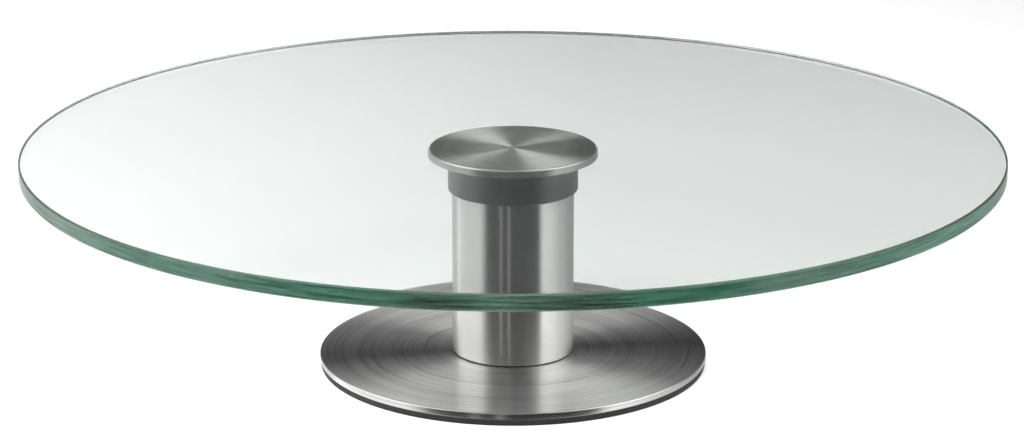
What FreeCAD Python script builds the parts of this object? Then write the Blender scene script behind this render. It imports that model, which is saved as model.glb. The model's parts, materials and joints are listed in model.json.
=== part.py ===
"""Glass cake turntable: a glass disc bonded to a steel boss whose spindle runs in two ball
bearings, held by a moulded collar in the top of a steel column on a round base plate.

Millimetres, +Z up. The origin is the centre of the base pad's underside.
"""

import FreeCAD, Part
import Sketcher
import os
import re

os.makedirs("parts", exist_ok=True)
doc = FreeCAD.newDocument("cake_turntable")

TOUCH = 0.001  # two edges this near in radius and height are the same edge
COUNTERSINK_ANGLE = 90  # degrees

# ---------------------------------------------------------------- driving dimensions

DIMENSIONS = {
    # the glass and the boss that carries it
    "glass_diameter": 300,
    "glass_thickness": 5,
    "glass_arris": 0.5,
    "bond_diameter": 51,
    "bond_thickness": 0.2,
    "boss_diameter": 52,
    "boss_thickness": 2.2,
    "boss_chamfer": 0.45,
    "running_gap": 0.6,
    # the spindle under the boss
    "spindle_diameter": 8,
    "spindle_tail": 1.6,
    "spindle_chamfer": 0.5,
    "stub_diameter": 6,
    "socket_depth": 3.4,
    "stub_clearance": 0.2,
    "hub_margin": 0.35,
    "spacer_length": 20,
    "spacer_wall": 1.4,
    "washer_diameter": 12,
    "washer_thickness": 0.5,
    "ring_thickness": 0.8,
    "ring_width": 1.5,
    "ring_gap": 2.4,
    "ring_lug": 1.3,
    "plier_hole": 1,
    "ring_groove_depth": 0.2,
    "ring_clearance": 0.05,
    # the two ball bearings
    "bearing_diameter": 22,
    "bearing_width": 7,
    "race_chamfer": 0.3,
    "ball_diameter": 3.969,
    "ball_count": 7,
    "raceway_depth": 0.5,
    "raceway_clearance": 0.06,
    "cage_clearance": 0.5,
    "cage_back": 0.55,
    "cage_mouth": 1.2,
    "pocket_clearance": 0.12,
    "shield_thickness": 0.3,
    "shield_inset": 0.2,
    "shield_clearance": 0.3,
    # the moulded collar that holds the bearings in the column
    "collar_diameter": 40,
    "collar_height": 10,
    "collar_chamfer": 0.35,
    "bearing_recess": 1.5,
    "shoulder_width": 2.5,
    "collar_lip": 1,
    "spigot_clearance": 0.05,
    "spigot_chamfer": 1,
    # the column and the plug in its foot
    "column_diameter": 37.5,
    "column_wall": 1.5,
    "column_length": 47.6,
    "column_chamfer": 0.2,
    "foot_gap": 0.4,
    "foot_inset": 0.6,
    "plug_height": 10,
    "plug_chamfer": 0.8,
    # the base plate, its screws and its pad
    "base_diameter": 120,
    "base_thickness": 2,
    "base_rounding": 0.35,
    "screw_count": 3,
    "screw_circle": 22,
    "screw_diameter": 3,
    "screw_length": 8,
    "screw_head": 5.6,
    "head_sink": 0.1,
    "screw_play": 0.2,
    "thread_play": 0.02,
    "thread_runout": 1,
    "drive_width": 2.3,
    "drive_depth": 0.9,
    "tape_diameter": 118,
    "tape_thickness": 0.2,
    "pad_diameter": 119.4,
    "pad_thickness": 1.8,
    "pad_rounding": 0.4,
}

sheet = doc.addObject("Spreadsheet::Sheet", "Sizes")
for row, (alias, size) in enumerate(DIMENSIONS.items(), start=1):
    sheet.set(f"A{row}", alias)
    sheet.set(f"B{row}", str(size))
    sheet.setAlias(f"B{row}", alias)
doc.recompute()
CELLS = {alias: f"Sizes.{alias}" for alias in DIMENSIONS}


def sized(expression):
    """An expression with the name of each size led to its cell."""
    return re.sub(r"[a-z_]+", lambda word: CELLS.get(word[0], word[0]), expression)


# ---------------------------------------------------------------- levels and shared radii

# Heights, from the surface the turntable stands on to the top of the glass.
TAPE_BOTTOM = "pad_thickness"
BASE_BOTTOM = f"{TAPE_BOTTOM} + tape_thickness"
BASE_TOP = f"{BASE_BOTTOM} + base_thickness"
COLUMN_BOTTOM = f"{BASE_TOP} + foot_gap"
COLUMN_TOP = f"{COLUMN_BOTTOM} + column_length"
COLLAR_TOP = f"{COLUMN_TOP} + collar_height"
BOSS_BOTTOM = f"{COLLAR_TOP} + running_gap"
BOND_BOTTOM = f"{BOSS_BOTTOM} + boss_thickness"
GLASS_BOTTOM = f"{BOND_BOTTOM} + bond_thickness"

# Heights inside the collar, from the top bearing down to the end of the spindle.
UPPER_TOP = f"{COLLAR_TOP} - bearing_recess"
UPPER_BOTTOM = f"{UPPER_TOP} - bearing_width"
LOWER_TOP = f"{UPPER_BOTTOM} - spacer_length"
LOWER_BOTTOM = f"{LOWER_TOP} - bearing_width"
WASHER_BOTTOM = f"{LOWER_BOTTOM} - washer_thickness"
RING_BOTTOM = f"{WASHER_BOTTOM} - ring_thickness"
SPINDLE_BOTTOM = f"{RING_BOTTOM} - ring_clearance - spindle_tail"
COLLAR_BOTTOM = f"{LOWER_BOTTOM} - collar_lip"

# Radii that several pieces share.
SPINDLE_RADIUS = "spindle_diameter / 2"
BALL_RADIUS = "ball_diameter / 2"
PITCH_RADIUS = "( spindle_diameter + bearing_diameter ) / 4"
INNER_SHOULDER = f"{PITCH_RADIUS} - {BALL_RADIUS} + raceway_depth"
OUTER_SHOULDER = f"{PITCH_RADIUS} + {BALL_RADIUS} - raceway_depth"
COLUMN_BORE = "( column_diameter / 2 - column_wall )"


# ---------------------------------------------------------------- ways of making a piece


def bind(item, name, expression):
    """Ties one property of an object to the sheet."""
    item.setExpression(name, sized(expression))


def number(expression):
    """What an expression comes to now, to place a sketch's points before they are tied."""
    return float(sheet.evalExpression(expression))


def primitive(kind, name, level="0", **sizes):
    """A Part primitive on the axis, standing at a level, with its sizes tied to the sheet."""
    item = doc.addObject(f"Part::{kind}", name)
    for size, expression in sizes.items():
        bind(item, size, expression)
    bind(item, "Placement.Base.z", level)
    return item


def cut(name, base, tool):
    """What is left of base when tool is taken out of it."""
    result = doc.addObject("Part::Cut", name)
    result.Base = base
    result.Tool = tool
    return result


def group(name, members, kind="Part::Compound", links="Links"):
    """Separate solids kept together, or joined when kind is a fuse."""
    result = doc.addObject(kind, name)
    setattr(result, links, members)
    return result


def on_circle(item, radius, number_of, index):
    """Moves an object out to its place among equal steps round a circle, and faces it outwards."""
    angle = f"360 * {index} / {number_of}"
    bind(item, "Placement.Base.x", f"( {radius} ) * cos( {angle} )")
    bind(item, "Placement.Base.y", f"( {radius} ) * sin( {angle} )")
    bind(item, "Placement.Rotation.Angle", angle)


def new_body(name, level):
    """An empty body whose own XY plane stands at a level."""
    body = doc.addObject("PartDesign::Body", name)
    bind(body, "Placement.Base.z", level)
    return body


def new_sketch(body, name, role):
    """A sketch on one of its body's origin planes."""
    sketch = body.newObject("Sketcher::SketchObject", f"{body.Name}_{name}")
    plane = next(item for item in body.Origin.OriginFeatures if item.Role == role)
    sketch.AttachmentSupport = [(plane, "")]
    sketch.MapMode = "FlatFace"
    return sketch


def tie_point(sketch, geometry, point, label, across, up):
    """Ties one point of a sketch to distances from the sketch's origin."""
    for axis, kind, side, expression in ((-2, "DistanceX", "across", across),
                                         (-1, "DistanceY", "up", up)):
        if expression == "0":
            sketch.addConstraint(Sketcher.Constraint("PointOnObject", geometry, point, axis))
            continue
        tie = Sketcher.Constraint(kind, -1, 1, geometry, point, number(expression))
        index = sketch.addConstraint(tie)
        sketch.renameConstraint(index, f"{label}_{side}")
        bind(sketch, f"Constraints.{label}_{side}", expression)


def draw_outline(sketch, points):
    """A closed outline of straight lines through points given as (across, up) expressions."""
    places = [FreeCAD.Vector(number(across), number(up), 0) for across, up in points]
    for index, place in enumerate(places):
        following = places[(index + 1) % len(places)]
        sketch.addGeometry(Part.LineSegment(place, following), False)
    for index, (across, up) in enumerate(points):
        sketch.addConstraint(
            Sketcher.Constraint("Coincident", index - 1 if index else len(points) - 1, 2, index, 1)
        )
        tie_point(sketch, index, 1, f"corner{index}", across, up)


def draw_circle(sketch, label, radius, across="0", up="0"):
    """A circle tied by its radius and its centre."""
    centre = FreeCAD.Vector(number(across), number(up), 0)
    shape = Part.Circle(centre, FreeCAD.Vector(0, 0, 1), number(radius))
    index = sketch.addGeometry(shape, False)
    tie = sketch.addConstraint(Sketcher.Constraint("Radius", index, number(radius)))
    sketch.renameConstraint(tie, f"{label}_radius")
    bind(sketch, f"Constraints.{label}_radius", radius)
    tie_point(sketch, index, 3, label, across, up)


def turned(name, level, points):
    """A body turned on a lathe: an outline of (radius, height) points spun about the axis."""
    body = new_body(name, level)
    sketch = new_sketch(body, "outline", "XZ_Plane")
    draw_outline(sketch, points)
    spin = body.newObject("PartDesign::Revolution", f"{name}_turning")
    spin.Profile = sketch
    spin.ReferenceAxis = (sketch, ["V_Axis"])
    spin.Angle = 360
    return body


def disc(name, level, radius, thickness, bore=None):
    """A body that is a flat disc, or a ring when it has a bore."""
    body = new_body(name, level)
    sketch = new_sketch(body, "outline", "XY_Plane")
    draw_circle(sketch, "rim", radius)
    if bore:
        draw_circle(sketch, "bore", bore)
    pad = body.newObject("PartDesign::Pad", f"{name}_disc")
    pad.Profile = sketch
    bind(pad, "Length", thickness)
    return body


def edges_at(body, radius, height):
    """The names of the round edges of a body's last feature at a radius and a height."""
    doc.recompute()
    found = []
    for index, edge in enumerate(body.Tip.Shape.Edges, start=1):
        centre = edge.Curve.Center if isinstance(edge.Curve, Part.Circle) else None
        if centre is None:
            continue
        same_level = abs(centre.z - number(height)) < TOUCH
        if same_level and abs(edge.Curve.Radius - number(radius)) < TOUCH:
            found.append(f"Edge{index}")
    return found


def ease_edges(body, kind, size, *places):
    """Chamfers or rounds the round edges of a body that are at the (radius, height) places."""
    names = [name for place in places for name in edges_at(body, *place)]
    base = body.Tip
    feature = body.newObject(f"PartDesign::{kind}", f"{body.Name}_{kind.lower()}")
    feature.Base = (base, names)
    bind(feature, "Radius" if kind == "Fillet" else "Size", size)


def drill(body, radius, depth, count, circle, countersink=None):
    """Drills equally spaced holes up from the body's XY plane, with a countersink if one is given."""
    doc.recompute()
    sketch = new_sketch(body, "hole_centre", "XY_Plane")
    draw_circle(sketch, "hole", radius, circle)
    hole = body.newObject("PartDesign::Hole", f"{body.Name}_hole")
    hole.Profile = sketch
    hole.Reversed = True
    hole.ThreadType = "None"
    hole.DrillPoint = "Flat"
    bind(hole, "Diameter", f"2 * ( {radius} )")
    bind(hole, "Depth", depth)
    if countersink:
        hole.HoleCutType = "Countersink"
        hole.HoleCutCountersinkAngle = COUNTERSINK_ANGLE
        bind(hole, "HoleCutDiameter", countersink)
    doc.recompute()
    pattern = body.newObject("PartDesign::PolarPattern", f"{body.Name}_holes")
    pattern.Originals = [hole]
    pattern.Axis = (sketch, ["N_Axis"])
    pattern.Angle = 360
    bind(pattern, "Occurrences", count)
    body.Tip = pattern


# ---------------------------------------------------------------- the glass and its boss


def make_glass_plate():
    """The float-glass disc, with its sharp edges taken off all round."""
    radius = "glass_diameter / 2"
    body = disc("glass_plate", GLASS_BOTTOM, radius, "glass_thickness")
    ease_edges(body, "Chamfer", "glass_arris", (radius, "0"), (radius, "glass_thickness"))
    return body


def make_bond_film():
    """The clear adhesive between the glass and the boss."""
    return primitive("Cylinder", "bond_film", BOND_BOTTOM,
                     Radius="bond_diameter / 2", Height="bond_thickness")


def make_boss_disc():
    """The turned steel disc under the glass, with a hub that seats on the upper inner race."""
    hub = f"{INNER_SHOULDER} - hub_margin"
    hub_height = "running_gap + bearing_recess"
    top = f"{hub_height} + boss_thickness"
    rim = "boss_diameter / 2"
    return turned("boss_disc", UPPER_TOP, [
        ("stub_diameter / 2", "0"),
        (hub, "0"),
        (hub, hub_height),
        (rim, hub_height),
        (rim, f"{top} - boss_chamfer"),
        (f"{rim} - boss_chamfer", top),
        ("0", top),
        ("0", "socket_depth"),
        ("stub_diameter / 2", "socket_depth"),
    ])


def make_spindle():
    """The ground shaft, screwed into the boss at the top and grooved for its ring at the foot."""
    groove_low = "spindle_tail"
    groove_high = "spindle_tail + ring_clearance + ring_thickness"
    seat = f"{groove_high} + washer_thickness + 2 * bearing_width + spacer_length"
    top = f"{seat} + socket_depth - stub_clearance"
    groove = f"{SPINDLE_RADIUS} - ring_groove_depth"
    stub = "stub_diameter / 2"
    return turned("spindle", SPINDLE_BOTTOM, [
        ("0", "0"),
        (f"{SPINDLE_RADIUS} - spindle_chamfer", "0"),
        (SPINDLE_RADIUS, "spindle_chamfer"),
        (SPINDLE_RADIUS, groove_low),
        (groove, groove_low),
        (groove, groove_high),
        (SPINDLE_RADIUS, groove_high),
        (SPINDLE_RADIUS, seat),
        (stub, seat),
        (stub, f"{top} - spindle_chamfer"),
        (f"{stub} - spindle_chamfer", top),
        ("0", top),
    ])


def make_spacer_sleeve():
    """The tube that keeps the two inner races apart."""
    return disc("spacer_sleeve", LOWER_TOP, f"{SPINDLE_RADIUS} + spacer_wall", "spacer_length",
                bore=SPINDLE_RADIUS)


def make_thrust_washer():
    """The washer between the lower inner race and the retaining ring."""
    return disc("thrust_washer", WASHER_BOTTOM, "washer_diameter / 2", "washer_thickness",
                bore=SPINDLE_RADIUS)


def make_retaining_ring():
    """The open spring ring in the spindle's groove, with two lugs for pliers."""
    inner = f"{SPINDLE_RADIUS} - ring_groove_depth"
    outer = f"{inner} + ring_width"
    deep = {"Height": "ring_thickness"}
    rim = primitive("Cylinder", "ring_rim", RING_BOTTOM, Radius=outer, **deep)
    lugs = [primitive("Cylinder", f"ring_lug_{side}", RING_BOTTOM, Radius="ring_lug", **deep)
            for side in ("left", "right")]
    holes = [primitive("Cylinder", f"ring_plier_hole_{side}", RING_BOTTOM,
                       Radius="plier_hole / 2", **deep) for side in ("left", "right")]
    for pair in (lugs, holes):
        for item, sign in zip(pair, ("-", "")):
            bind(item, "Placement.Base.x", f"{sign} ( ring_gap / 2 + ring_lug )")
            bind(item, "Placement.Base.y", f"{outer} + ring_lug / 2")
    bore = primitive("Cylinder", "ring_bore", RING_BOTTOM, Radius=inner, **deep)
    opening = primitive("Box", "ring_opening", RING_BOTTOM,
                        Length="ring_gap", Width=f"{outer} + 2 * ring_lug", **deep)
    bind(opening, "Placement.Base.x", "- ring_gap / 2")
    blank = group("ring_blank", [rim, *lugs], "Part::MultiFuse", "Shapes")
    tools = group("ring_tools", [bore, opening, *holes], "Part::MultiFuse", "Shapes")
    return cut("retaining_ring", blank, tools)


# ---------------------------------------------------------------- the two ball bearings


def make_race(name, level, bore, rim):
    """A bearing race with chamfered corners, before its raceway is ground."""
    edge = "race_chamfer"
    width = "bearing_width"
    return turned(name, level, [
        (f"{bore} + {edge}", "0"),
        (f"{rim} - {edge}", "0"),
        (rim, edge),
        (rim, f"{width} - {edge}"),
        (f"{rim} - {edge}", width),
        (f"{bore} + {edge}", width),
        (bore, f"{width} - {edge}"),
        (bore, edge),
    ])


def grind_raceway(body):
    """The round groove that the balls run in."""
    sketch = new_sketch(body, "raceway", "XZ_Plane")
    draw_circle(sketch, "ball_path", f"{BALL_RADIUS} + raceway_clearance",
                PITCH_RADIUS, "bearing_width / 2")
    groove = body.newObject("PartDesign::Groove", f"{body.Name}_groove")
    groove.Profile = sketch
    groove.ReferenceAxis = (sketch, ["V_Axis"])
    groove.Angle = 360


def make_races(place, level):
    """The inner race, which turns with the spindle, and the outer race, held by the collar."""
    inner = make_race(f"{place}_bearing_inner_race", level, SPINDLE_RADIUS, INNER_SHOULDER)
    outer = make_race(f"{place}_bearing_outer_race", level, OUTER_SHOULDER, "bearing_diameter / 2")
    for race in (inner, outer):
        grind_raceway(race)
    return [inner, outer]


def ring_of_spheres(name, level, radius):
    """As many spheres as the bearing has balls, on its pitch circle."""
    spheres = []
    for index in range(int(sheet.ball_count)):
        sphere = primitive("Sphere", f"{name}_{index + 1}", f"{level} + bearing_width / 2",
                           Radius=radius)
        on_circle(sphere, PITCH_RADIUS, "ball_count", index)
        spheres.append(sphere)
    return group(name, spheres)


def make_cage(place, level):
    """The moulded crown cage: a ring with a round pocket for each ball, open on one side."""
    name = f"{place}_bearing_cage"
    pocket = f"{BALL_RADIUS} + pocket_clearance"
    foot = f"{level} + bearing_width / 2 - cage_mouth"
    tall = f"cage_mouth + {pocket} + cage_back"
    rim = primitive("Cylinder", f"{name}_rim", foot,
                    Radius=f"{OUTER_SHOULDER} - cage_clearance", Height=tall)
    bore = primitive("Cylinder", f"{name}_bore", foot,
                     Radius=f"{INNER_SHOULDER} + cage_clearance", Height=tall)
    pockets = ring_of_spheres(f"{name}_pockets", level, pocket)
    return cut(name, cut(f"{name}_ring", rim, bore), pockets)


def make_shields(place, level):
    """The two thin steel shields fixed in the outer race, one near each face."""
    name = f"{place}_bearing_shields"
    faces = {
        "lower": f"{level} + shield_inset",
        "upper": f"{level} + bearing_width - shield_inset - shield_thickness",
    }
    shields = []
    for face, foot in faces.items():
        rim = primitive("Cylinder", f"{name}_{face}_rim", foot,
                        Radius=OUTER_SHOULDER, Height="shield_thickness")
        bore = primitive("Cylinder", f"{name}_{face}_bore", foot,
                         Radius=f"{INNER_SHOULDER} + shield_clearance", Height="shield_thickness")
        shields.append(cut(f"{name}_{face}", rim, bore))
    return group(name, shields)


def make_bearing(place, level):
    """One deep-groove ball bearing, standing at a level."""
    balls = ring_of_spheres(f"{place}_bearing_balls", level, BALL_RADIUS)
    return [*make_races(place, level), balls, make_cage(place, level), make_shields(place, level)]


# ---------------------------------------------------------------- the stand


def make_bearing_collar():
    """The moulded collar: a flange on the column, and a spigot in it with a seat for each bearing."""
    rim = "collar_diameter / 2"
    spigot = f"{COLUMN_BORE} - spigot_clearance"
    seat = "bearing_diameter / 2"
    throat = f"{seat} - shoulder_width"
    lower_seat = "collar_lip + bearing_width"
    upper_seat = f"{lower_seat} + spacer_length"
    top = f"{upper_seat} + bearing_width + bearing_recess"
    flange = f"{top} - collar_height"
    return turned("bearing_collar", COLLAR_BOTTOM, [
        (seat, "0"),
        (f"{spigot} - spigot_chamfer", "0"),
        (spigot, "spigot_chamfer"),
        (spigot, flange),
        (f"{rim} - collar_chamfer", flange),
        (rim, f"{flange} + collar_chamfer"),
        (rim, f"{top} - collar_chamfer"),
        (f"{rim} - collar_chamfer", top),
        (seat, top),
        (seat, upper_seat),
        (throat, upper_seat),
        (throat, lower_seat),
        (seat, lower_seat),
    ])


def make_column_tube():
    """The brushed steel column."""
    radius = "column_diameter / 2"
    body = disc("column_tube", COLUMN_BOTTOM, radius, "column_length", bore=COLUMN_BORE)
    ease_edges(body, "Chamfer", "column_chamfer", (radius, "0"), (radius, "column_length"))
    return body


def make_foot_plug():
    """The steel plug in the column's foot, tapped for the base screws. Its narrower flange keeps
    the column a hair above the plate."""
    flange = "column_diameter / 2 - foot_inset"
    top = "foot_gap + plug_height"
    body = turned("foot_plug", BASE_TOP, [
        ("0", "0"),
        (flange, "0"),
        (flange, "foot_gap"),
        (COLUMN_BORE, "foot_gap"),
        (COLUMN_BORE, f"{top} - plug_chamfer"),
        (f"{COLUMN_BORE} - plug_chamfer", top),
        ("0", top),
    ])
    drill(body, "screw_diameter / 2 + thread_play",
          "head_sink + screw_length - base_thickness + thread_runout",
          "screw_count", "screw_circle / 2")
    return body


def make_base_plate():
    """The round steel base plate, countersunk from below for its screws."""
    radius = "base_diameter / 2"
    body = disc("base_plate", BASE_BOTTOM, radius, "base_thickness")
    ease_edges(body, "Fillet", "base_rounding", (radius, "0"), (radius, "base_thickness"))
    drill(body, "screw_diameter / 2 + screw_play", "base_thickness", "screw_count",
          "screw_circle / 2", countersink="screw_head + 2 * head_sink")
    return body


def make_base_screw(name):
    """A countersunk screw on the axis, head down, with a six-sided drive socket."""
    level = f"{BASE_BOTTOM} + head_sink"
    head_height = "( screw_head - screw_diameter ) / 2"
    head = primitive("Cone", f"{name}_head", level, Radius1="screw_head / 2",
                     Radius2="screw_diameter / 2", Height=head_height)
    shank = primitive("Cylinder", f"{name}_shank", level,
                      Radius="screw_diameter / 2", Height="screw_length")
    socket = primitive("Prism", f"{name}_socket", level,
                       Circumradius="drive_width / 2", Height="drive_depth")
    blank = group(f"{name}_blank", [head, shank], "Part::MultiFuse", "Shapes")
    return cut(name, blank, socket)


def make_base_screws():
    """The screws that hold the plate to the plug."""
    screws = []
    for index in range(int(sheet.screw_count)):
        screw = make_base_screw(f"base_screw_{index + 1}")
        on_circle(screw, "screw_circle / 2", "screw_count", index)
        screws.append(screw)
    return group("base_screws", screws)


def make_pad_tape():
    """The double-sided tape that holds the pad to the plate."""
    return primitive("Cylinder", "pad_tape", TAPE_BOTTOM,
                     Radius="tape_diameter / 2", Height="tape_thickness")


def make_base_pad():
    """The soft black pad the turntable stands on."""
    radius = "pad_diameter / 2"
    body = disc("base_pad", "0", radius, "pad_thickness")
    ease_edges(body, "Fillet", "pad_rounding", (radius, "0"), (radius, "pad_thickness"))
    return body


# ---------------------------------------------------------------- build, check and write

pieces = [
    make_glass_plate(),
    make_bond_film(),
    make_boss_disc(),
    make_spindle(),
    make_spacer_sleeve(),
    make_thrust_washer(),
    make_retaining_ring(),
    *make_bearing("upper", UPPER_BOTTOM),
    *make_bearing("lower", LOWER_BOTTOM),
    make_bearing_collar(),
    make_column_tube(),
    make_foot_plug(),
    make_base_plate(),
    make_base_screws(),
    make_pad_tape(),
    make_base_pad(),
]
doc.recompute()

for item in doc.Objects:
    if {"Invalid", "Error"} & set(item.State):
        raise RuntimeError(f"{item.Label} did not build: {item.State}")
for piece in pieces:
    if piece.Shape.isNull() or not piece.Shape.isValid():
        raise RuntimeError(f"{piece.Label} has no valid shape")
    piece.Shape.exportStep(f"parts/{piece.Label}.step")
    print(f"{piece.Label}: {len(piece.Shape.Solids)} solid(s), {piece.Shape.Volume:.1f} mm3")
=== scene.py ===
# %% [markdown]
# # A glass cake turntable
#
# A clear glass disc stands on a turned steel boss, which spins in a grey moulded collar on a short
# satin steel column. The column stands on a round brushed plate with a thin black foam pad. This
# notebook builds the surfaces that show, one piece at a time, around the engineering model, and
# gives every piece a finish made of nodes. Everything is in metres, with +Z up.

# %% Load the frame
import bpy
import json
import math
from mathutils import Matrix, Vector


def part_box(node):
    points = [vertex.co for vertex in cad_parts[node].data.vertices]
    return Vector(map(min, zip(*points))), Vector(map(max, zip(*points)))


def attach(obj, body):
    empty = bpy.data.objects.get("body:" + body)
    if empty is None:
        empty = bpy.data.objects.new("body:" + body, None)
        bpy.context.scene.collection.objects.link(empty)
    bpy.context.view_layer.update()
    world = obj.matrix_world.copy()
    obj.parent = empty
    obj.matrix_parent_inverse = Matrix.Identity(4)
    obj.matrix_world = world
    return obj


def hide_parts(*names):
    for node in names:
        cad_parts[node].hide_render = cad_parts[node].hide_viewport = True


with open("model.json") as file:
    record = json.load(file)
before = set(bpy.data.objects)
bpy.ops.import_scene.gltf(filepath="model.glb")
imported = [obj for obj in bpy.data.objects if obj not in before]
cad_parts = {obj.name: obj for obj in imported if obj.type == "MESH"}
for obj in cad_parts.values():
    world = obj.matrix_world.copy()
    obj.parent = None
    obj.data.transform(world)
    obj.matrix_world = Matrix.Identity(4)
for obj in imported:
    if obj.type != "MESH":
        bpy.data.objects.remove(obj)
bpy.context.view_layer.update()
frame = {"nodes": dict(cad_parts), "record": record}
nodes = frame["nodes"]
MM = 0.001

# %% [markdown]
# ## Reading sizes from the frame
#
# A round piece is known by its radius and the two heights it lies between. The points of its mesh
# lie exactly on its true circles, so the largest distance of a point from the axis is the radius.
# Reading sizes this way means the surfaces follow the design when it changes.


# %% Sizes of a round piece
def outer_radius(node):
    """The largest distance of a node's points from the axis."""
    return max(math.hypot(point.co.x, point.co.y) for point in nodes[node].data.vertices)


def inner_radius(node):
    """The smallest distance of a node's points from the axis."""
    return min(math.hypot(point.co.x, point.co.y) for point in nodes[node].data.vertices)


def levels(node):
    """The lowest and the highest point of a node."""
    low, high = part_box(node)
    return low.z, high.z


for node in ("glass_plate", "boss_disc", "bearing_collar", "column_tube", "base_plate", "base_pad"):
    low, high = levels(node)
    print(f"{node}: radius {outer_radius(node) / MM:.2f} mm, from {low / MM:.2f} to {high / MM:.2f} mm")

# %% [markdown]
# ## Camera
#
# The camera stands in front of the turntable and looks down on it by about 17 degrees, through a
# long lens from about a metre away. A long lens keeps the far and near rims of the disc in
# almost true proportion, as in a catalogue picture.

# %% Place the camera
CAMERA_PLACE = (-0.0003, -0.9842, 0.3393)
CAMERA_PITCH = math.radians(73.43)
LENS = 117.2
SENSOR = 36.0

bpy.ops.object.camera_add(location=CAMERA_PLACE, rotation=(CAMERA_PITCH, 0, 0))
camera = bpy.context.active_object
camera.name = "catalogue_camera"
camera.data.lens = LENS
camera.data.sensor_width = SENSOR
camera.data.clip_start = 0.01
bpy.context.scene.camera = camera
print("lens", LENS, "mm, looking down by", round(90 - math.degrees(CAMERA_PITCH), 2), "degrees")

# %% [markdown]
# ## Writing finishes as arithmetic
#
# A finish is a small program made of nodes. To keep it readable, one class wraps a node's output so
# that plus, minus, times and the rest add Math nodes, and another makes any node from its type, its
# settings and what goes into its sockets.


# %% A value that changes over a surface
class Value:
    """One output that carries a number. Arithmetic on it adds Math nodes."""

    def __init__(self, finish, socket):
        self.finish = finish
        self.socket = socket

    def __add__(self, other):
        return self.finish.math("ADD", self, other)

    def __sub__(self, other):
        return self.finish.math("SUBTRACT", self, other)

    def __rsub__(self, other):
        return self.finish.math("SUBTRACT", other, self)

    def __mul__(self, other):
        return self.finish.math("MULTIPLY", self, other)

    def __truediv__(self, other):
        return self.finish.math("DIVIDE", self, other)


# %% Nodes by type, settings and inputs
class Finish:
    """A node tree, and short ways of adding to it."""

    def __init__(self, tree):
        self.tree = tree
        tree.nodes.clear()

    def node(self, kind, settings=None, inputs=None):
        """Any node. Settings are set first, and then each input gets a number or a link."""
        made = self.tree.nodes.new(kind)
        for name, setting in (settings or {}).items():
            setattr(made, name, setting)
        for name, given in (inputs or {}).items():
            given = given.socket if isinstance(given, Value) else given
            if isinstance(given, bpy.types.NodeSocket):
                self.tree.links.new(given, made.inputs[name])
            else:
                made.inputs[name].default_value = given
        return made

    def math(self, operation, *terms):
        made = self.node("ShaderNodeMath", {"operation": operation}, dict(enumerate(terms)))
        return Value(self, made.outputs[0])

    def step(self, value, start, end):
        """0 below start and 1 above end, with a smooth rise between them."""
        made = self.node("ShaderNodeMapRange", {"interpolation_type": "SMOOTHSTEP"},
                         {"Value": value, "From Min": start, "From Max": end})
        return Value(self, made.outputs["Result"])

    def band(self, value, start, end, soft):
        """1 between start and end, fading to 0 over a width of soft at each."""
        rise = self.step(value, start - soft / 2, start + soft / 2)
        return rise * (1 - self.step(value, end - soft / 2, end + soft / 2))

    def vector(self, x, y, z):
        return self.node("ShaderNodeCombineXYZ", inputs={"X": x, "Y": y, "Z": z}).outputs[0]

    def place(self, output="Object"):
        """The three coordinates of the point being shaded."""
        coordinates = self.node("ShaderNodeTexCoord").outputs[output]
        parts = self.node("ShaderNodeSeparateXYZ", inputs={0: coordinates})
        return [Value(self, part) for part in parts.outputs]

    def noise(self, vector, scale=1.0, detail=2.0, roughness=0.5):
        made = self.node("ShaderNodeTexNoise", inputs={"Vector": vector, "Scale": scale,
                                                       "Detail": detail, "Roughness": roughness})
        return Value(self, made.outputs["Fac"])

    def blend(self, amount, first, second):
        """A colour between two, by an amount from 0 to 1."""
        made = self.node("ShaderNodeMix", {"data_type": "RGBA"}, {0: amount, 6: first, 7: second})
        return made.outputs[2]

    def bump(self, height, strength, distance):
        made = self.node("ShaderNodeBump", inputs={"Height": height, "Strength": strength,
                                                   "Distance": distance})
        return made.outputs[0]

    def principled(self, **inputs):
        """The everyday shader. An underscore in a name stands for a space."""
        named = {name.replace("_", " "): given for name, given in inputs.items()}
        return self.node("ShaderNodeBsdfPrincipled", inputs=named).outputs[0]

    def mix(self, amount, first, second):
        """Two shaders, mixed by an amount."""
        return self.node("ShaderNodeMixShader", inputs={0: amount, 1: first, 2: second}).outputs[0]

    def surface(self, shader, volume=None):
        inputs = {"Surface": shader}
        if volume:
            inputs["Volume"] = volume
        self.node("ShaderNodeOutputMaterial", inputs=inputs)


def new_finish(name):
    """An empty material, and its finish to fill."""
    material = bpy.data.materials.new(name)
    material.use_nodes = True
    return material, Finish(material.node_tree)


def grey(tone):
    """A neutral colour."""
    return (tone, tone, tone, 1.0)


print("shader tools ready")

# %% [markdown]
# ## The room that the steel mirrors
#
# Bare metal and glass have hardly any colour of their own: they show the room. The room here is
# painted on the world by direction. It is dark in front, with a tall soft light on the left and a
# narrower one on the right, which give the column its two bright bands. Straight behind the
# turntable stands a low card that brightens to the left, and that is what the flat glass mirrors.
# The ceiling is a soft white, dimmer along its middle line.
#
# Each light is five numbers: where it starts, the degrees it takes to fade in, where it ends, the
# degrees it takes to fade out, and how bright it is. Starts and ends are degrees round from the
# front, negative to the left.
#
# The painted room shows only where a surface mirrors or bends it. It doesn't light the floor, and
# where the camera would look straight at it there is a plain white backdrop instead.

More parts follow.
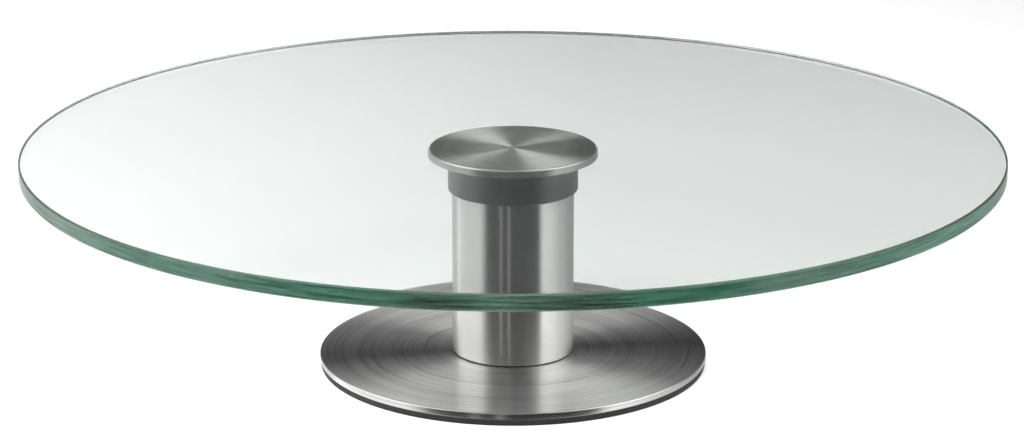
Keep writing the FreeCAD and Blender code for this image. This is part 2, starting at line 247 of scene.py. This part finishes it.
# %% Paint the world by direction
FRONT = 0.05
REAR = 0.16
REAR_TURN = (98, 115)
SIDE_LIGHTS = ((-128, 14, -57, 20, 1.10), (54, 11, 102, 76, 1.33))
LOW_GLOWS = ((-200, 2, -122, 14, 0.85), (108, 50, 200, 2, 0.42))
FRONT_STRIPS = ((-24.5, 2, -21, 2, 0.40), (-9.5, 2, -6, 2, 0.40))
OVERHEAD = 1.38
SKYLIGHT = 0.88
TO_RIGHT = 0.05
CARD = 0.08
CARD_TO_LEFT = 2.6
DARKEST = 0.02
CARD_SIDES = (-0.16, 0.16, 0.04)
CARD_TOP = (0.300, 0.318)
BEHIND = (0.80, 0.88)
HORIZON = (-0.05, 0.10)
DIM_MIDDLE = (0.08, 0.30)
CEILING_UP = (0.52, 0.68)
CEILING_AWAY = (-0.35, 0.05)

world = bpy.data.worlds.new("studio")
world.use_nodes = True
world.cycles_visibility.diffuse = False
bpy.context.scene.world = world
room = Finish(world.node_tree)
across, away, up = room.place("Generated")
turn = room.math("ARCTAN2", across, away * -1) * (180 / math.pi)
low = 1 - room.step(up, *HORIZON)
sides = room.step(room.math("ABSOLUTE", turn), *REAR_TURN) * (REAR - FRONT) + FRONT
for lights, height in ((SIDE_LIGHTS + FRONT_STRIPS, 1), (LOW_GLOWS, low)):
    for start, start_soft, end, end_soft, bright in lights:
        rise = room.step(turn, start - start_soft / 2, start + start_soft / 2)
        fall = room.step(turn, end - end_soft / 2, end + end_soft / 2)
        sides = rise * (1 - fall) * (height * bright) + sides
gap = room.step(away, *BEHIND) * (1 - low)
card = room.math("MAXIMUM", CARD - across * CARD_TO_LEFT, DARKEST)
card_edge = room.band(across, *CARD_SIDES) * (1 - room.step(up, *CARD_TOP))
wall = card * card_edge + DARKEST
painted = sides * (1 - gap) + wall * gap
off_middle = room.math("ABSOLUTE", across + TO_RIGHT)
ceiling = room.step(off_middle, *DIM_MIDDLE) * OVERHEAD + SKYLIGHT
overhead = room.step(up, *CEILING_UP) * room.step(away, *CEILING_AWAY)
light = painted * (1 - overhead) + overhead * ceiling
background = room.node("ShaderNodeBackground", inputs={"Color": room.vector(light, light, light),
                                                       "Strength": 1.0})
backdrop = room.node("ShaderNodeBackground", inputs={"Color": grey(1.0), "Strength": 1.0})
seen = room.node("ShaderNodeLightPath").outputs["Is Camera Ray"]
room.node("ShaderNodeOutputWorld", inputs={
    "Surface": room.mix(seen, background.outputs[0], backdrop.outputs[0])})
print("world nodes:", len(world.node_tree.nodes))

# %% [markdown]
# ## Floor and lamp
#
# The floor is plain and pale. One large soft lamp overhead lights it. The metal and glass don't
# mirror the floor or the lamp, only the painted room and each other. Further down, the base plate and
# the pad are set to cast no shadow, so that the floor round them stays clean.

# %% Floor and overhead lamp
FLOOR_SIZE = 12.0
FLOOR_TONE = 0.9
LAMP_SIZE = 2.2
LAMP_PLACE = (-0.8, -0.45, 1.5)
LAMP_POWER = 76.0
LIGHT_BOUNCES = 48

bpy.ops.mesh.primitive_plane_add(size=FLOOR_SIZE)
floor = bpy.context.active_object
floor.name = "floor"
floor_paint, paint = new_finish("pale_floor")
paint.surface(paint.principled(Base_Color=grey(FLOOR_TONE), Roughness=0.9,
                               Specular_IOR_Level=0.0))
floor.data.materials.append(floor_paint)
floor.visible_glossy = False

bpy.ops.object.light_add(type="AREA", location=LAMP_PLACE)
lamp = bpy.context.active_object
lamp.name = "overhead_softbox"
lamp.data.size = LAMP_SIZE
lamp.data.energy = LAMP_POWER
lamp.visible_glossy = False
lamp.visible_transmission = False
lamp.visible_camera = False
scene = bpy.context.scene
scene.view_settings.view_transform = "Standard"
for kind in ("max", "glossy", "transmission"):
    setattr(scene.cycles, kind + "_bounces", LIGHT_BOUNCES)
scene.cycles.transparent_max_bounces = LIGHT_BOUNCES
print("lamp:", LAMP_POWER, "W over", LAMP_SIZE, "m")

# %% [markdown]
# ## Turning a piece on a lathe
#
# Nearly every piece here is round, so one helper does what a lathe does. It starts from a single
# point, draws half of the section point by point with extrude, and spins it once round the axis.
# Merging doubles closes the seam and the poles, and recalculated normals point outwards. A Bevel
# modifier then eases the sharp edges, and Weighted Normal keeps the flats looking flat beside them.

# %% The lathe
STEPS = 192
WELD = 0.002 * MM
SHARP = math.radians(35)


def only(piece):
    """Makes a piece the only selected one."""
    bpy.ops.object.select_all(action="DESELECT")
    piece.select_set(True)
    bpy.context.view_layer.objects.active = piece


def lathe(name, outline, steps=STEPS):
    """Spins an outline of (radius, height) points about the axis into a closed shape."""
    bpy.ops.object.select_all(action="DESELECT")
    bpy.ops.mesh.primitive_plane_add(size=MM)
    piece = bpy.context.active_object
    piece.name = name
    bpy.ops.object.mode_set(mode="EDIT")
    bpy.ops.mesh.merge(type="CENTER")
    bpy.ops.transform.translate(value=(outline[0][0], 0, outline[0][1]))
    for (radius, height), (next_radius, next_height) in zip(outline, outline[1:]):
        move = (next_radius - radius, 0, next_height - height)
        bpy.ops.mesh.extrude_region_move(TRANSFORM_OT_translate={"value": move})
    bpy.ops.mesh.select_all(action="SELECT")
    bpy.ops.mesh.spin(steps=steps, angle=2 * math.pi, center=(0, 0, 0), axis=(0, 0, 1))
    bpy.ops.mesh.select_all(action="SELECT")
    bpy.ops.mesh.remove_doubles(threshold=WELD)
    bpy.ops.mesh.normals_make_consistent(inside=False)
    bpy.ops.object.mode_set(mode="OBJECT")
    return piece


def ease(piece, width, segments=3):
    """Rounds a piece's sharp edges and smooths its shading."""
    only(piece)
    bpy.ops.object.modifier_add(type="BEVEL")
    bevel = piece.modifiers[-1]
    bevel.width = width
    bevel.segments = segments
    bevel.limit_method = "ANGLE"
    bevel.angle_limit = SHARP
    bpy.ops.object.modifier_apply(modifier=bevel.name)
    smooth(piece)


def smooth(piece):
    """Smooth shading, with flats kept flat."""
    only(piece)
    bpy.ops.object.shade_smooth_by_angle(angle=SHARP)
    bpy.ops.object.modifier_add(type="WEIGHTED_NORMAL")
    weighted = piece.modifiers[-1]
    weighted.keep_sharp = True
    bpy.ops.object.modifier_apply(modifier=weighted.name)


def fit(piece, body, slot, *replaced):
    """Puts a piece on its body, in the place of engineering pieces."""
    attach(piece, body)
    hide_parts(*replaced)
    print(f"{piece.name}: {len(piece.data.polygons)} faces, for {', '.join(replaced)}")


# %% [markdown]
# ## The glass disc
#
# The disc is 5 mm float glass. Its edge is polished flat, and the two sharp corners are taken off
# at 45 degrees, which leaves narrow lines called arrises. The section has extra points close to the
# edge, so that the arrises and the edge can have their own finish, and one at the rim of the glue,
# because light passes straight from glued glass into the steel.

# %% Turn the glass disc
ARRIS = 0.5 * MM
FLAT_SUPPORT = 1.5 * MM
GLASS_STEPS = 360

glass_radius = outer_radius("glass_plate")
glass_low, glass_high = levels("glass_plate")
bond_radius = outer_radius("bond_film")
glass_disc = lathe("glass_disc", [
    (0, glass_low),
    (bond_radius, glass_low),
    (glass_radius - ARRIS - FLAT_SUPPORT, glass_low),
    (glass_radius - ARRIS, glass_low),
    (glass_radius, glass_low + ARRIS),
    (glass_radius, glass_high - ARRIS),
    (glass_radius - ARRIS, glass_high),
    (glass_radius - ARRIS - FLAT_SUPPORT, glass_high),
    (0, glass_high),
], steps=GLASS_STEPS)
smooth(glass_disc)
fit(glass_disc, "turntable", "clear_glass", "glass_plate")

# %% [markdown]
# Each face of the disc is sorted by where it lies. The flats are clear, the upper arris is ground
# matt, the underside over the glue is bonded, and the edge is the green edge. The lower arris, which
# faces down, is given the darker edge finish instead of the ground one: painted shade.

# %% Sort the faces of the glass
CLEAR, GROUND, BONDED, EDGE_AND_SHADED_ARRIS = range(4)
FLAT = 0.9
SLOPING_UP = 0.3


def glass_zone(face):
    """Which finish a face of the glass has."""
    radius = math.hypot(face.center.x, face.center.y)
    if face.center.z < glass_low + MM / 4 and radius < bond_radius:
        return BONDED
    if abs(face.normal.z) > FLAT:
        return CLEAR
    # The edge and the lower arris share the edge finish; on the lower arris its darker look is painted
    # shade.
    return GROUND if face.normal.z > SLOPING_UP else EDGE_AND_SHADED_ARRIS


for face in glass_disc.data.polygons:
    face.material_index = glass_zone(face)
zones = [face.material_index for face in glass_disc.data.polygons]
print("faces clear, ground, bonded, edge:", [zones.count(zone) for zone in range(4)])

# %% [markdown]
# Clear glass is the Principled shader with all its weight on transmission. Its green comes from
# iron in the glass, which takes a little red and blue out of light on every millimetre of its way.
# That is a Volume Absorption, so a look down through 5 mm shows no colour, and a look along the
# disc through its edge shows deep green. Shadow rays pass, or the floor under it would go dark.

# %% Glass finishes
GLASS_BENDS = 1.52
IRON_TINT = (0.25, 0.66, 0.51, 1.0)
IRON_AMOUNT = 8.0
SHADE_TINT = (0.985, 0.99, 0.987, 1.0)
MATT_GREEN = (0.30, 0.48, 0.39, 1.0)
DARK_GREEN = (0.12, 0.28, 0.21, 1.0)
PALE_GREEN = (0.74, 0.90, 0.83, 1.0)
BONDED_TINT = (1.0, 0.985, 0.985, 1.0)
HAZE = (0.72, 0.72, 0.70, 1.0)


def light_passes(glass, shader):
    """Lets lamps and daylight through a glass shader, so that it casts only a faint shadow."""
    paths = glass.node("ShaderNodeLightPath")
    open_way = glass.node("ShaderNodeBsdfTransparent", inputs={"Color": SHADE_TINT}).outputs[0]
    shaded = glass.mix(paths.outputs["Is Shadow Ray"], shader, open_way)
    return glass.mix(paths.outputs["Is Diffuse Ray"], shaded, open_way)


def iron_green(glass):
    return glass.node("ShaderNodeVolumeAbsorption", inputs={"Color": IRON_TINT,
                                                            "Density": IRON_AMOUNT}).outputs[0]


def clear_glass(name, smear):
    """Polished glass with faint wiping marks, which only its gloss shows."""
    material, glass = new_finish(name)
    x, y, z = glass.place()
    marks = glass.noise(glass.vector(x * 25, y * 40, z * 40), 1.0, 3.0)
    shine = glass.step(marks, 0.45, 0.8) * smear
    body = glass.principled(Base_Color=grey(1.0), Roughness=shine, IOR=GLASS_BENDS,
                            Transmission_Weight=1.0)
    glass.surface(light_passes(glass, body), iron_green(glass))
    return material


def ground_glass():
    """The matt, pale line where a stone took the corner off."""
    material, glass = new_finish("ground_arris")
    x, y, z = glass.place()
    grit = glass.noise(glass.vector(x, y, z), 2500.0, 2.0)
    body = glass.principled(Base_Color=MATT_GREEN, Roughness=grit * 0.2 + 0.35,
                            IOR=GLASS_BENDS, Transmission_Weight=0.85,
                            Normal=glass.bump(grit, 0.3, 0.05 * MM))
    glass.surface(light_passes(glass, body), iron_green(glass))
    return material


def bonded_glass():
    """Where glue of the same kind joins the glass to the steel, light crosses unbent."""
    material, glass = new_finish("bonded_glass")
    x, y, z = glass.place()
    cloud = glass.noise(glass.vector(x, y, z), 120.0, 2.0)
    way = glass.node("ShaderNodeBsdfTransparent", inputs={"Color": BONDED_TINT}).outputs[0]
    haze = glass.principled(Base_Color=HAZE, Roughness=0.3)
    glass.surface(glass.mix(cloud * 0.03, way, haze), iron_green(glass))
    return material


def edge_glass():
    """The green edge, streaked round its length by the polishing wheel."""
    material, glass = new_finish("polished_edge")
    x, y, z = glass.place()
    waves = glass.noise(glass.vector(x * 60, y * 60, z * 1500), 1.0, 4.0, 0.6)
    streaks = glass.step(waves, 0.4, 0.6)
    body = glass.principled(Base_Color=glass.blend(streaks, DARK_GREEN, PALE_GREEN),
                            Roughness=waves * 0.3 + 0.05,
                            IOR=GLASS_BENDS, Transmission_Weight=0.96,
                            Normal=glass.bump(waves, 0.2, 0.1 * MM))
    glass.surface(light_passes(glass, body), iron_green(glass))
    return material


for finish in (clear_glass("clear_glass", 0.03), ground_glass(), bonded_glass(), edge_glass()):
    glass_disc.data.materials.append(finish)
print("glass finishes:", [slot.name for slot in glass_disc.material_slots])

# %% [markdown]
# ## The glue
#
# Clear glue fills the narrow gap between boss and glass. It reaches almost to the chamfer of the
# boss, where it ends in a slight hollow. It is kept a hair clear of the steel and the glass, so
# that no two surfaces lie in the same place.

# %% Lay the glue
HAIR = 0.01 * MM
GLUE_TINT = (1.0, 0.995, 0.99, 1.0)
BUBBLE_SKIN = (0.6, 0.64, 0.62, 1.0)
BUBBLES_PER_METRE = 400.0

bond_low, bond_high = levels("bond_film")
glue = lathe("clear_glue", [
    (0, bond_low - HAIR),
    (bond_radius, bond_low - HAIR),
    (bond_radius - 2 * HAIR, (bond_low + bond_high) / 2),
    (bond_radius, bond_high - HAIR),
    (0, bond_high - HAIR),
])
smooth(glue)
fit(glue, "turntable", "bond", "bond_film")


def glue_finish():
    """Almost invisible glue with a few very small bubbles."""
    material, gum = new_finish("clear_glue")
    x, y, z = gum.place()
    cells = gum.node("ShaderNodeTexVoronoi", inputs={"Vector": gum.vector(x, y, 0.0),
                                                     "Scale": BUBBLES_PER_METRE})
    bubble = 1 - gum.step(Value(gum, cells.outputs["Distance"]), 0.04, 0.08)
    way = gum.node("ShaderNodeBsdfTransparent", inputs={"Color": GLUE_TINT}).outputs[0]
    skin = gum.principled(Base_Color=BUBBLE_SKIN, Roughness=0.2)
    gum.surface(gum.mix(bubble * 0.3 + 0.01, way, skin))
    return material


glue.data.materials.append(glue_finish())

# %% [markdown]
# ## Brushed and turned steel
#
# A tool or an abrasive belt leaves fine grooves that all run the same way. They spread a reflection
# across the grooves and leave it sharp along them, which the shader calls anisotropy. On every
# piece here the grooves run round the axis, so a quarter turn of the shader's direction gives the
# bright fans on a turned face and the tall bands on the column. Larger scratches are a noise that
# is stretched along the same direction, and they change colour, roughness and height together.


# %% Steel with grooves round the axis
QUARTER_TURN = 0.25
GROOVE_DEPTH = 0.02 * MM
GREEN_SHARE = 0.995
BLUE_SHARE = 0.98


def grooved_steel(name, wall, tone, roughness, grain, reach, spread, depth, show=0.5):
    """Steel with grooves round the axis.

    wall is True for an upright surface, whose grooves lie one above another, and False for a face.
    grain is marks per metre across the grooves, and reach is how often they change on the way round.
    spread is the anisotropy, depth the strength of the bump, and show how much the tone varies.
    """
    material, steel = new_finish(name)
    x, y, z = steel.place()
    radius = steel.math("MAXIMUM", steel.math("SQRT", x * x + y * y), 0.1 * MM)
    across = z if wall else radius + z
    fine_way = steel.vector(across * grain, x / radius * reach, y / radius * reach)
    fine = steel.noise(fine_way, roughness=0.6)
    broad_way = steel.vector(across * grain * 0.15, x / radius * reach, y / radius * reach)
    broad = steel.noise(broad_way)
    marks = fine * 0.65 + broad * 0.35
    shade = (marks - 0.5) * show + tone
    colour = steel.vector(shade, shade * GREEN_SHARE, shade * BLUE_SHARE)
    body = steel.principled(Base_Color=colour, Metallic=1.0,
                            Roughness=(marks - 0.5) * (show * 0.08) + roughness,
                            Anisotropic=spread, Anisotropic_Rotation=QUARTER_TURN,
                            Normal=steel.bump(marks, depth, GROOVE_DEPTH))
    steel.surface(body)
    return material


# %% [markdown]
# ## The boss
#
# The boss is one turned piece: a flat disc whose face shows through the glass, and a short hub that
# rests on the upper bearing. Its top edge has a small chamfer. The upright faces are a little duller
# than the flat ones, and their much darker tone is painted shade.

# %% Turn the boss
BOSS_THICKNESS = 2.2 * MM
BOSS_CHAMFER = 0.35 * MM
HUB_RADIUS = 5.7 * MM
SOCKET_RADIUS = 3.0 * MM
SOCKET_DEPTH = 3.4 * MM
BOSS_EASE = 0.08 * MM
UPRIGHT = 0.5

boss_radius = outer_radius("boss_disc")
boss_low, boss_high = levels("boss_disc")
boss_under = boss_high - BOSS_THICKNESS
boss = lathe("turned_boss", [
    (0, boss_low + SOCKET_DEPTH),
    (SOCKET_RADIUS, boss_low + SOCKET_DEPTH),
    (SOCKET_RADIUS, boss_low),
    (HUB_RADIUS, boss_low),
    (HUB_RADIUS, boss_under),
    (boss_radius, boss_under),
    (boss_radius, boss_high - BOSS_CHAMFER),
    (boss_radius - BOSS_CHAMFER, boss_high),
    (boss_radius - BOSS_CHAMFER - MM, boss_high),
    (0, boss_high),
])
ease(boss, BOSS_EASE)
fit(boss, "turntable", "turned_steel", "boss_disc")
boss.data.materials.append(grooved_steel(
    "turned_steel", wall=False, tone=0.98, roughness=0.36,
    grain=2200.0, reach=0.6, spread=0.99, depth=0.02, show=0.9))
# The upright faces get a darker copy of the turned steel: painted shade on the rim.
boss.data.materials.append(grooved_steel(
    "turned_rim_painted_shade", wall=True, tone=0.58, roughness=0.40,
    grain=5000.0, reach=0.6, spread=0.9, depth=0.02, show=0.4))
for face in boss.data.polygons:
    face.material_index = int(abs(face.normal.z) < UPRIGHT)
print("rim faces:", sum(face.material_index for face in boss.data.polygons))

# %% [markdown]
# ## The collar
#
# The collar is moulded in dark grey plastic with a fine matt texture, like the inside of a good
# tool case. Its spigot inside the column holds the bearings, so only the ring above the column
# shows. A tiny chamfer runs round both its edges.

# %% Turn the collar
COLLAR_HEIGHT = 10 * MM
COLLAR_CHAMFER = 0.35 * MM
COLLAR_EASE = 0.06 * MM
SPIGOT_GAP = 0.05 * MM

collar_radius = outer_radius("bearing_collar")
collar_bore = inner_radius("bearing_collar")
collar_low, collar_high = levels("bearing_collar")
column_bore = inner_radius("column_tube")
bearing_seat = outer_radius("upper_bearing_outer_race")
upper_seat = levels("upper_bearing_outer_race")[0]
lower_seat = levels("lower_bearing_outer_race")[1]
collar_under = collar_high - COLLAR_HEIGHT
spigot_radius = column_bore - SPIGOT_GAP
collar = lathe("grey_collar", [
    (bearing_seat, collar_low),
    (spigot_radius - MM, collar_low),
    (spigot_radius, collar_low + MM),
    (spigot_radius, collar_under),
    (collar_radius - COLLAR_CHAMFER, collar_under),
    (collar_radius, collar_under + COLLAR_CHAMFER),
    (collar_radius, collar_high - COLLAR_CHAMFER),
    (collar_radius - COLLAR_CHAMFER, collar_high),
    (bearing_seat, collar_high),
    (bearing_seat, upper_seat),
    (collar_bore, upper_seat),
    (collar_bore, lower_seat),
    (bearing_seat, lower_seat),
    (bearing_seat, collar_low),
])
ease(collar, COLLAR_EASE, 2)
fit(collar, "stand", "collar_plastic", "bearing_collar")


def moulded_plastic(name, colour, roughness, texture, gloss=0.5, skin=0.0):
    """Plastic from a spark-eroded mould: an even, fine, matt grain."""
    material, plastic = new_finish(name)
    x, y, z = plastic.place()
    grain = plastic.noise(plastic.vector(x, y, z), texture, 3.0, 0.6)
    flow = plastic.noise(plastic.vector(x, y, z), 90.0, 2.0)
    paler = tuple(min(part * 2.0, 1.0) for part in colour[:3]) + (1.0,)
    body = plastic.principled(Base_Color=plastic.blend(grain * 0.7 + flow * 0.3, colour, paler),
                              Roughness=(grain - 0.5) * 0.3 + roughness, Specular_IOR_Level=gloss,
                              Coat_Weight=skin, Coat_Roughness=0.35,
                              Normal=plastic.bump(grain, 0.35, 0.03 * MM))
    plastic.surface(body)
    return material


collar.data.materials.append(moulded_plastic(
    "matt_grey_plastic", (0.023, 0.024, 0.026, 1.0), roughness=0.42, texture=1200.0, gloss=1.0, skin=1.0))

# %% [markdown]
# ## The column
#
# The column is a length of satin steel tube. It starts as an open cylinder, Solidify gives it its
# wall, and a small bevel eases both ends. Its abrasive belt went round it, so fine grooves run
# round and the reflections of the two lights are drawn out into tall bands.

# %% Cut the column from tube
COLUMN_EASE = 0.2 * MM

column_radius = outer_radius("column_tube")
column_low, column_high = levels("column_tube")
bpy.ops.object.select_all(action="DESELECT")
bpy.ops.mesh.primitive_cylinder_add(vertices=STEPS, end_fill_type="NOTHING",
                                    radius=column_radius, depth=column_high - column_low,
                                    location=(0, 0, (column_low + column_high) / 2))
column = bpy.context.active_object
column.name = "satin_column"
bpy.ops.object.transform_apply(location=True)
bpy.ops.object.modifier_add(type="SOLIDIFY")
wall = column.modifiers[-1]
wall.thickness = column_radius - column_bore
wall.offset = -1
bpy.ops.object.modifier_apply(modifier=wall.name)
ease(column, COLUMN_EASE)
fit(column, "stand", "column_steel", "column_tube")
column.data.materials.append(grooved_steel(
    "satin_steel", wall=True, tone=0.73, roughness=0.27,
    grain=7000.0, reach=12.0, spread=0.98, depth=0.006, show=0.24))

# %% [markdown]
# ## The base plate and its pad
#
# The plate is brushed on a turntable of its own, so its grooves are rings, coarser than those on
# the boss. The pad under it is closed-cell foam, a little smaller
# than the plate, with a soft rounded edge.

# %% Turn the base plate
PLATE_EASE = 0.35 * MM
PLATE_STEPS = 288

plate_radius = outer_radius("base_plate")
plate_low, plate_high = levels("base_plate")
plate = lathe("brushed_base", [
    (0, plate_low),
    (plate_radius - MM, plate_low),
    (plate_radius, plate_low),
    (plate_radius, plate_high),
    (plate_radius - MM, plate_high),
    (0, plate_high),
], steps=PLATE_STEPS)
ease(plate, PLATE_EASE, 4)
fit(plate, "stand", "base_steel", "base_plate")
plate.data.materials.append(grooved_steel(
    "brushed_steel", wall=False, tone=0.68, roughness=0.285,
    grain=1600.0, reach=0.5, spread=0.99, depth=0.02, show=0.95))

# %% Cut the foam pad
PAD_EASE = 0.4 * MM
FOAM_CELLS_PER_METRE = 1400.0
FOAM_BLACK = (0.018, 0.018, 0.020, 1.0)
FOAM_DUST = (0.040, 0.040, 0.043, 1.0)

pad_radius = outer_radius("base_pad")
pad_low, pad_high = levels("base_pad")
pad = lathe("foam_pad", [
    (0, pad_low),
    (pad_radius - MM, pad_low),
    (pad_radius, pad_low),
    (pad_radius, pad_high),
    (pad_radius - MM, pad_high),
    (0, pad_high),
], steps=PLATE_STEPS)
ease(pad, PAD_EASE, 4)
fit(pad, "stand", "pad_foam", "base_pad")
# Neither casts a shadow, so that the floor round them stays clean.
plate.visible_shadow = False
pad.visible_shadow = False


def foam_finish():
    """Black closed-cell foam: small dimples that catch a little light."""
    material, foam = new_finish("black_foam")
    x, y, z = foam.place()
    cells = foam.node("ShaderNodeTexVoronoi", inputs={"Vector": foam.vector(x, y, z),
                                                      "Scale": FOAM_CELLS_PER_METRE})
    dimple = Value(foam, cells.outputs["Distance"])
    dust = foam.noise(foam.vector(x, y, z), 60.0, 3.0)
    body = foam.principled(Base_Color=foam.blend(dust, FOAM_BLACK, FOAM_DUST),
                           Roughness=dimple * 0.3 + 0.5,
                           Normal=foam.bump(dimple, 0.5, 0.1 * MM))
    foam.surface(body)
    return material


pad.data.materials.append(foam_finish())

# %% [markdown]
# ## Pieces inside
#
# The spindle, bearings, plug, screws and tape never show in daily use, but each gets the finish it
# would have on the bench: ground steel with grooves round the axis, polished balls, natural nylon
# cages, black spring steel and plain tape.


# %% Finishes of the inner pieces
def polished_balls():
    """Mirror-bright balls with a faint film of oil."""
    material, steel = new_finish("polished_balls")
    x, y, z = steel.place()
    film = steel.noise(steel.vector(x, y, z), 700.0, 2.0)
    steel.surface(steel.principled(Base_Color=grey(0.72), Metallic=1.0, Roughness=film * 0.08 + 0.03))
    return material


def paper_tape():
    """Pale tape with a fibrous backing."""
    material, tape = new_finish("pale_tape")
    x, y, z = tape.place()
    fibres = tape.noise(tape.vector(x * 600, y * 2400, z * 600), 1.0, 3.0)
    colour = tape.blend(fibres, (0.62, 0.61, 0.58, 1.0), (0.82, 0.81, 0.78, 1.0))
    tape.surface(tape.principled(Base_Color=colour, Roughness=fibres * 0.2 + 0.6,
                                 Normal=tape.bump(fibres, 0.3, 0.02 * MM)))
    return material


slot_finishes = {
    "bearing_steel": grooved_steel("ground_steel", wall=False, tone=0.60, roughness=0.18,
                                   grain=9000.0, reach=6.0, spread=0.4, depth=0.1),
    "ball_steel": polished_balls(),
    "cage_plastic": moulded_plastic("natural_nylon", (0.62, 0.57, 0.46, 1.0),
                                    roughness=0.45, texture=1500.0),
    "plug_steel": grooved_steel("blackened_steel", wall=False, tone=0.05, roughness=0.40,
                                grain=5000.0, reach=4.0, spread=0.5, depth=0.3, show=0.05),
    "screw_steel": grooved_steel("plated_steel", wall=False, tone=0.52, roughness=0.26,
                                 grain=6000.0, reach=4.0, spread=0.3, depth=0.1),
    "spring_steel": grooved_steel("black_spring_steel", wall=False, tone=0.12, roughness=0.40,
                                  grain=6000.0, reach=4.0, spread=0.2, depth=0.1, show=0.1),
    "tape": paper_tape(),
}
slot_of = {row["node"]: row["material_slot"] for row in frame["record"]["subparts"]}
for name, item in nodes.items():
    if slot_of[name] in slot_finishes:
        item.data.materials.clear()
        item.data.materials.append(slot_finishes[slot_of[name]])
print("inner pieces finished:", sum(slot_of[name] in slot_finishes for name in nodes))
